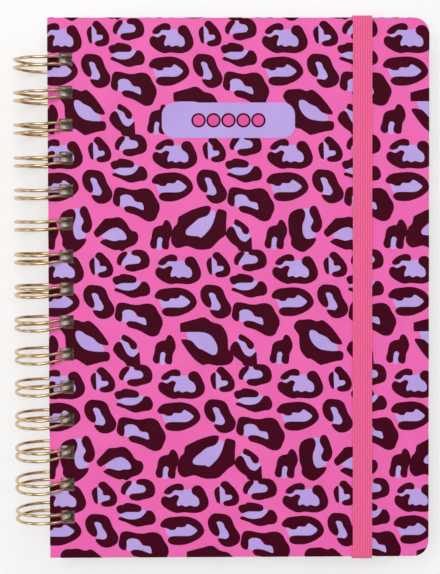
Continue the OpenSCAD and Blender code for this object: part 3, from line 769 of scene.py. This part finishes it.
stack_low, stack_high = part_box("page_block")
leaf_t = (stack_high[2] - stack_low[2]) / LEAF_N
half_gap = LEAF_GAP / 2000
stack = merged_copy("page_block")
for v in stack.verts:
    x, y = v.co.x * 1000, v.co.y * 1000
    if abs(x - HOLE_LEFT) < 0.01:
        v.co.x = LEAF_HOLE_LEFT / 1000
    if x < HOLE_RIGHT + 0.01 and any(abs(y - middle + HALF_HOLE_H) < 0.01 for middle in LOOP_Y):
        v.co.y -= LEAF_HOLE_LONGER / 1000
leaves = bmesh.new()
drift = random.Random(DRIFT_SEED)
for i in range(LEAF_N):
    leaf = stack.copy()
    cuts = []
    if i > 0:
        cuts.append((stack_low[2] + i * leaf_t + half_gap, -1))
    if i < LEAF_N - 1:
        cuts.append((stack_low[2] + (i + 1) * leaf_t - half_gap, 1))
    for level, up in cuts:
        cut = bmesh.ops.bisect_plane(
            leaf, geom=leaf.faces[:] + leaf.edges[:] + leaf.verts[:], dist=1e-7,
            plane_co=(0, 0, level), plane_no=(0, 0, up), clear_outer=True
        )["geom_cut"]
        rim = [e for e in cut if isinstance(e, bmesh.types.BMEdge)]
        bmesh.ops.triangle_fill(leaf, edges=rim, use_beauty=True, normal=(0, 0, up))
    bmesh.ops.recalc_face_normals(leaf, faces=leaf.faces)
    shift = Vector((drift.uniform(-1, 1), drift.uniform(-1, 1), 0)) * LEAF_DRIFT / 1000
    bmesh.ops.translate(leaf, vec=shift, verts=leaf.verts)
    mesh = bpy.data.meshes.new("leaf")
    leaf.to_mesh(mesh)
    leaf.free()
    leaves.from_mesh(mesh)
    bpy.data.meshes.remove(mesh)
stack.free()
pages = piece_from(leaves, "page_leaves", page_finish, smooth=False)
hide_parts("page_block")
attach(pages, "pages")


# Wire binding: one length of gold-coloured steel wire, bent to and fro into 15 double
# loops that pass through every hole, and closed so that the tips meet the line of roots.
AXIS_X = -69.753
WIRE_R = 0.6
LOOP_R = 10.9
TIP_R = 1.55
ROOT_BEND_R = 1.3
WIRE_END = 2.0
WIRE_SIDES = 14
ROOT_STEPS = 6
LOOP_STEPS = 60
TIP_STEPS = 12
COVER_HALF = FACE_Z - AXIS_Z
SEAM_GAP = 0.2
TIP_GAP = 0.25

# Turns round the loops' axis: the roots stand just clear of the back cover, and the tips
# come right round to meet them
root_turn = -math.asin((COVER_HALF + SEAM_GAP) / (LOOP_R - WIRE_R))
root_line_turn = root_turn - math.atan(ROOT_BEND_R / LOOP_R)
tip_turn = 2 * math.pi + root_line_turn - math.asin((TIP_GAP + TIP_R) / LOOP_R)
root_out = TIP_R + ROOT_BEND_R


def radial(turn):
    return Vector((math.cos(turn), 0, math.sin(turn)))


def tangent(turn):
    return Vector((-math.sin(turn), 0, math.cos(turn)))


wire = bmesh.new()
axis = Vector((AXIS_X, 0, AXIS_Z))
along = Vector((0, 1, 0))
root_line = axis + radial(root_turn) * LOOP_R - tangent(root_turn) * ROOT_BEND_R
start = root_line + along * (LOOP_Y[0] - root_out - WIRE_END)
facing = Matrix.Translation(start) @ Matrix.Rotation(math.radians(90), 4, "X")
bmesh.ops.create_circle(wire, cap_ends=False, segments=WIRE_SIDES, radius=WIRE_R, matrix=facing)
first_ring = wire.edges[:]
ring = first_ring


def run_straight(shape, ring, step):
    """Draws the section on by a straight step, and gives its new place."""
    grown = bmesh.ops.extrude_edge_only(shape, edges=ring)["geom"]
    bmesh.ops.translate(shape, vec=step, verts=[g for g in grown if isinstance(g, bmesh.types.BMVert)])
    return [g for g in grown if isinstance(g, bmesh.types.BMEdge)]


def run_round(shape, ring, middle, pole, turn, steps):
    """Draws the section on round a bend, and gives its new place."""
    grown = bmesh.ops.spin(
        shape, geom=ring, cent=middle, axis=pole, dvec=(0, 0, 0), angle=turn, steps=steps,
        use_merge=False, use_duplicate=False
    )["geom_last"]
    return [g for g in grown if isinstance(g, bmesh.types.BMEdge)]


loop_turn = tip_turn - root_turn
right_angle = math.pi / 2
for i, y in enumerate(LOOP_Y):
    gap = WIRE_END if i == 0 else LOOP_PITCH - 2 * root_out
    ring = run_straight(wire, ring, along * gap)
    foot = axis + radial(root_turn) * LOOP_R + along * y
    tip = axis + radial(tip_turn) * LOOP_R + along * y
    ring = run_round(wire, ring, foot - along * root_out, radial(root_turn), right_angle, ROOT_STEPS)
    ring = run_round(wire, ring, axis, -along, loop_turn, LOOP_STEPS)
    ring = run_round(wire, ring, tip, -radial(tip_turn), math.pi, TIP_STEPS)
    ring = run_round(wire, ring, axis, along, loop_turn, LOOP_STEPS)
    ring = run_round(wire, ring, foot + along * root_out, radial(root_turn), right_angle, ROOT_STEPS)
ring = run_straight(wire, ring, along * WIRE_END)
for end in (first_ring, ring):
    bmesh.ops.contextual_create(wire, geom=end)
bmesh.ops.recalc_face_normals(wire, faces=wire.faces)

# Each loop leans towards the tail, most at its top, and least where covers and leaves hold
# it. LEAN is in millimetres, from the loop at the tail to the one at the head. PINCH draws
# the two wires of a loop together at the front cover. Shares go by degrees round the axis
LEAN = (0.2, 1.5, 1.5, 1.5, 1.5, 1.8, 1.8, 1.5, 1.3, 1.0, 1.6, 1.7, 1.5, 1.6, 1.3)
LEAN_SHARE = (
    (-180, 0.38), (-162, 0.22), (-156, 0.17), (-135, 0.16), (-90, 0.12), (-45, 0), (-20, 0), (20, 0.12),
    (35, 0.18), (57, 0.38), (75, 0.8), (90, 1), (135, 1), (155, 0.8), (180, 0.38)
)
PINCH = 0.4
PINCH_SHARE = ((-180, 0), (-20, 0), (20, 0.8), (35, 1), (60, 0.7), (110, 0), (180, 0))
for v in wire.verts:
    i = min(max(round((v.co.y - LOOP_Y[0]) / LOOP_PITCH), 0), LOOP_N - 1)
    place = math.degrees(math.atan2(v.co.z - AXIS_Z, v.co.x - AXIS_X))
    shift = LEAN[i] * look_up(LEAN_SHARE, place)
    if v.co.y > LOOP_Y[i]:
        shift += PINCH * look_up(PINCH_SHARE, place)
    v.co.y -= shift
bmesh.ops.transform(wire, matrix=Matrix.Scale(0.001, 4), verts=wire.verts)

# Gold-coloured plating on drawn steel: a pale warm metal with fairly sharp highlights, and
# a faint unevenness of 1 to 2 mm where the plating took more or less
wire_finish, tree, shader = new_finish("gold_plated_drawn_wire")
place = add(tree, "ShaderNodeTexCoord", {}).outputs
clouds = add(tree, "ShaderNodeTexNoise", {"Vector": place["Object"], "Scale": 700.0, "Detail": 3.0})
shades = add(tree, "ShaderNodeValToRGB", {"Fac": clouds.outputs["Fac"]})
shades.color_ramp.elements[0].position = 0.3
shades.color_ramp.elements[0].color = linear("#d0b284")
shades.color_ramp.elements[1].position = 0.7
shades.color_ramp.elements[1].color = linear("#dfc69c")
rub = add(tree, "ShaderNodeMapRange", {"Value": clouds.outputs["Fac"], "To Min": 0.17, "To Max": 0.26})
relief = add(tree, "ShaderNodeBump", {
    "Strength": 0.08, "Distance": 0.00003, "Height": clouds.outputs["Fac"]
})
join(tree, shades.outputs["Color"], shader, "Base Color")
join(tree, rub.outputs["Result"], shader, "Roughness")
join(tree, relief.outputs["Normal"], shader, "Normal")
shader.inputs["Metallic"].default_value = 1.0
wire_piece = piece_from(wire, "gold_wire_loops", wire_finish)
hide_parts("wire_binding")
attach(wire_piece, "back")


# Elastic band: a flat woven strip, pink, with rubber threads in eight ribs. It comes out of
# two slots in the back cover, goes round head and tail, and lies tight over the front.
BAND_T = 0.7
BAND_CLEAR = 0.15
BAND_BEND_R = 2.5 * BAND_CLEAR
RIB_N = 8
GROOVE_W = 0.22
GROOVE_D = 0.2
SLOT_BEND_R = 0.15
TAB_TOP_Z = 6.475
TAB_L = 9.0
STITCH_L = 0.5
BAND_SLIP = 3.1
CORNER_RISE = 0.12
CORNER_RUN = 0.08
BAND_BEND_STEPS = 6
SLOT_BEND_STEPS = 4

# The section of one rib: shares of its width, and depths below the face of the band
RIB_SECTION = ((1, GROOVE_D), (0.92, 0.07), (0.72, 0), (0.28, 0), (0.08, 0.07), (0, GROOVE_D))

rib_pitch = (BAND_W + GROOVE_W) / RIB_N
face_z = FACE_Z + BAND_CLEAR
edge_y = HALF_H + BAND_CLEAR
left_x = BAND_X - BAND_W / 2
right_x = left_x + BAND_W
rib_w = rib_pitch - GROOVE_W
outline = [(left_x, CORNER_RISE), (left_x + CORNER_RUN, 0)]
outline += [(right_x - CORNER_RUN, 0), (right_x, CORNER_RISE)]
for i in reversed(range(RIB_N)):
    for share, depth in RIB_SECTION:
        outline.append((left_x + i * rib_pitch + rib_w * share, BAND_T - depth))
band = bmesh.new()
corners = [band.verts.new((x, 0, face_z + height)) for x, height in outline]
ring = [band.edges.new((corners[i - 1], corners[i])) for i in range(len(corners))]


def bend_band(ring, y, z, turn, steps):
    return run_round(band, ring, (0, y, z), (1, 0, 0), turn, steps)


# Half the band, from the middle of the front over the head to the end of its tab
back_z = 2 * AXIS_Z - face_z
bend_y = edge_y - BAND_BEND_R
slot_bend_y = SLOT_Y + BAND_T / 2 + SLOT_BEND_R
tab_bend_y = SLOT_Y - BAND_T / 2 - SLOT_BEND_R
tab_bend_z = TAB_TOP_Z - BAND_T - SLOT_BEND_R
ring = run_straight(band, ring, (0, bend_y, 0))
ring = bend_band(ring, bend_y, face_z - BAND_BEND_R, -right_angle, BAND_BEND_STEPS)
ring = run_straight(band, ring, (0, 0, back_z - face_z + 2 * BAND_BEND_R))
ring = bend_band(ring, bend_y, back_z + BAND_BEND_R, -right_angle, BAND_BEND_STEPS)
ring = run_straight(band, ring, (0, slot_bend_y - bend_y, 0))
ring = bend_band(ring, slot_bend_y, back_z + SLOT_BEND_R, -right_angle, SLOT_BEND_STEPS)
ring = run_straight(band, ring, (0, 0, tab_bend_z - back_z - SLOT_BEND_R))
ring = bend_band(ring, tab_bend_y, tab_bend_z, right_angle, SLOT_BEND_STEPS)
ring = run_straight(band, ring, (0, -TAB_L + SLOT_BEND_R, 0))
bmesh.ops.contextual_create(band, geom=ring)
half = band.verts[:] + band.edges[:] + band.faces[:]
bmesh.ops.mirror(band, geom=half, axis="Y", merge_dist=1e-4)
bmesh.ops.remove_doubles(band, verts=band.verts, dist=1e-4)
bmesh.ops.recalc_face_normals(band, faces=band.faces)

# The weave follows the strip: across it in ribs, along it in stitches
weave = band.loops.layers.uv.new("weave")
for face in band.faces:
    for corner in face.loops:
        at = corner.vert.co
        corner[weave].uv = ((at.x - left_x - rib_w / 2) / rib_pitch, (abs(at.y) - at.z) / STITCH_L)

# On the front the band lies a little aside of its slots, as a stretched band does once it
# has been slipped over the cover by hand. It comes half-way back to them round head and
# tail, and the rest of the way across the back
for v in band.verts:
    if v.co.z > FACE_Z:
        share = 1
    elif v.co.z > back_z:
        share = 0.5 + 0.5 * (v.co.z - back_z) / (FACE_Z - back_z)
    else:
        share = 0.5 * min(max((abs(v.co.y) - slot_bend_y) / (edge_y - slot_bend_y), 0), 1)
    v.co.x += BAND_SLIP * share
bmesh.ops.transform(band, matrix=Matrix.Scale(0.001, 4), verts=band.verts)

# Covered elastic: pink polyester yarn wrapped round the rubber threads. Stitches 0.5 mm
# long show as cross bars on the ribs, and the grooves between the ribs are painted a deeper pink: painted
# shade in the grooves
band_finish, tree, shader = new_finish("woven_covered_elastic")
place = add(tree, "ShaderNodeTexCoord", {}).outputs
apart = add(tree, "ShaderNodeSeparateXYZ", {"Vector": place["UV"]})
stitch = add(tree, "ShaderNodeMath", {0: apart.outputs["Y"], 1: 2 * math.pi}, operation="MULTIPLY")
stitch = add(tree, "ShaderNodeMath", {0: stitch.outputs[0]}, operation="SINE")
across = add(tree, "ShaderNodeMath", {0: apart.outputs["X"], 1: 2 * math.pi}, operation="MULTIPLY")
rib = add(tree, "ShaderNodeMath", {0: across.outputs[0]}, operation="COSINE")
# The colour darkens from the middle of each rib into the grooves: painted shade, over the real shade of the
# grooves' depth
shades = add(tree, "ShaderNodeMapRange", {"Value": rib.outputs[0], "From Min": -1.0})
shades = add(tree, "ShaderNodeMix", {
    "Factor": shades.outputs["Result"], 6: linear("#e6568b"), 7: linear("#f86aa0")
}, data_type="RGBA")
yarn = add(tree, "ShaderNodeTexNoise", {"Vector": place["Object"], "Scale": 2500.0, "Detail": 3.0})
height = add(tree, "ShaderNodeMath", {
    0: stitch.outputs[0], 1: 0.5, 2: yarn.outputs["Fac"]
}, operation="MULTIPLY_ADD")
relief = add(tree, "ShaderNodeBump", {"Strength": 0.5, "Distance": 0.00008, "Height": height.outputs[0]})
join(tree, shades.outputs[2], shader, "Base Color")
join(tree, relief.outputs["Normal"], shader, "Normal")
shader.inputs["Roughness"].default_value = 0.75
shader.inputs["Sheen Weight"].default_value = 0.2
shader.inputs["Sheen Roughness"].default_value = 0.4
band_piece = piece_from(band, "woven_band", band_finish, smooth=False)
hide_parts("elastic_band")
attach(band_piece, "back")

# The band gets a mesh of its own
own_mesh(band_piece)


# Studio: a white floor that the notebook lies on, three soft panels of light, and a white
# surround that is dimmer towards the tail, so that the wire has a light and a dark side.
WHITE_SHARE = 0.4
FLOOR_HALF_W = 3.0
floor_shape = bmesh.new()
bmesh.ops.create_grid(floor_shape, x_segments=1, y_segments=1, size=FLOOR_HALF_W)

# Matt white board. Seen directly or mirrored in metal, a share of it is plain white, which
# puts no light on the notebook
floor_finish, tree, shader = new_finish("matt_white_floor")
shader.inputs["Base Color"].default_value = linear("#fafafa")
shader.inputs["Roughness"].default_value = 0.9
path = add(tree, "ShaderNodeLightPath", {})
seen = add(tree, "ShaderNodeMath", {0: path.outputs["Is Camera Ray"], 1: path.outputs["Is Glossy Ray"]})
seen = add(tree, "ShaderNodeMath", {0: seen.outputs[0], 1: path.outputs["Is Transmission Ray"]})
share = add(tree, "ShaderNodeMath", {0: seen.outputs[0], 1: WHITE_SHARE}, operation="MULTIPLY")

# Under the covers it has no such share, so that no white shines up through the holes
place = add(tree, "ShaderNodeTexCoord", {}).outputs
apart = add(tree, "ShaderNodeSeparateXYZ", {"Vector": place["Object"]})
cover_middle = (SPINE_X + FORE_X) / 2000
half_cover_w = (FORE_X - SPINE_X) / 2000
across = add(tree, "ShaderNodeMath", {0: apart.outputs["X"], 1: cover_middle}, operation="SUBTRACT")
far = add(tree, "ShaderNodeMath", {0: across.outputs[0]}, operation="ABSOLUTE")
beside = add(tree, "ShaderNodeMath", {0: far.outputs[0], 1: half_cover_w}, operation="GREATER_THAN")
far = add(tree, "ShaderNodeMath", {0: apart.outputs["Y"]}, operation="ABSOLUTE")
beyond = add(tree, "ShaderNodeMath", {0: far.outputs[0], 1: HALF_H / 1000}, operation="GREATER_THAN")
outside = add(tree, "ShaderNodeMath", {0: beside.outputs[0], 1: beyond.outputs[0]}, operation="MAXIMUM")
share = add(tree, "ShaderNodeMath", {0: share.outputs[0], 1: outside.outputs[0]}, operation="MULTIPLY")
white = add(tree, "ShaderNodeEmission", {"Color": linear("#ffffff")})
surface = add(tree, "ShaderNodeMixShader", {0: share.outputs[0], 1: shader.outputs[0], 2: white.outputs[0]})
join(tree, surface.outputs[0], tree.nodes["Material Output"], "Surface")
floor = piece_from(floor_shape, "studio_floor", floor_finish, smooth=False)

world = bpy.data.worlds.new("studio_surround")
world.use_nodes = True
tree = world.node_tree
place = add(tree, "ShaderNodeTexCoord", {}).outputs
apart = add(tree, "ShaderNodeSeparateXYZ", {"Vector": place["Generated"]})
strength = add(tree, "ShaderNodeMapRange", {
    "Value": apart.outputs["Y"], "From Min": -0.9, "From Max": 0.9, "To Min": 0.2, "To Max": 0.56
})
tree.nodes["Background"].inputs["Color"].default_value = linear("#ffffff")
join(tree, strength.outputs["Result"], tree.nodes["Background"], "Strength")
scene.world = world

for name, place, size, power in (
    ("overhead_panel", (-0.15, 0.2, 1.1), 0.8, 6.8),
    ("left_panel", (-1.1, -0.2, 0.7), 0.5, 2.2),
    ("right_panel", (0.9, 0.5, 0.9), 0.6, 2.1),
):
    lamp_data = bpy.data.lights.new(name, "AREA")
    lamp_data.size = size
    lamp_data.energy = power
    lamp = bpy.data.objects.new(name, lamp_data)
    lamp.location = place
    lamp.rotation_euler = (-Vector(place)).to_track_quat("-Z", "Y").to_euler()
    scene.collection.objects.link(lamp)
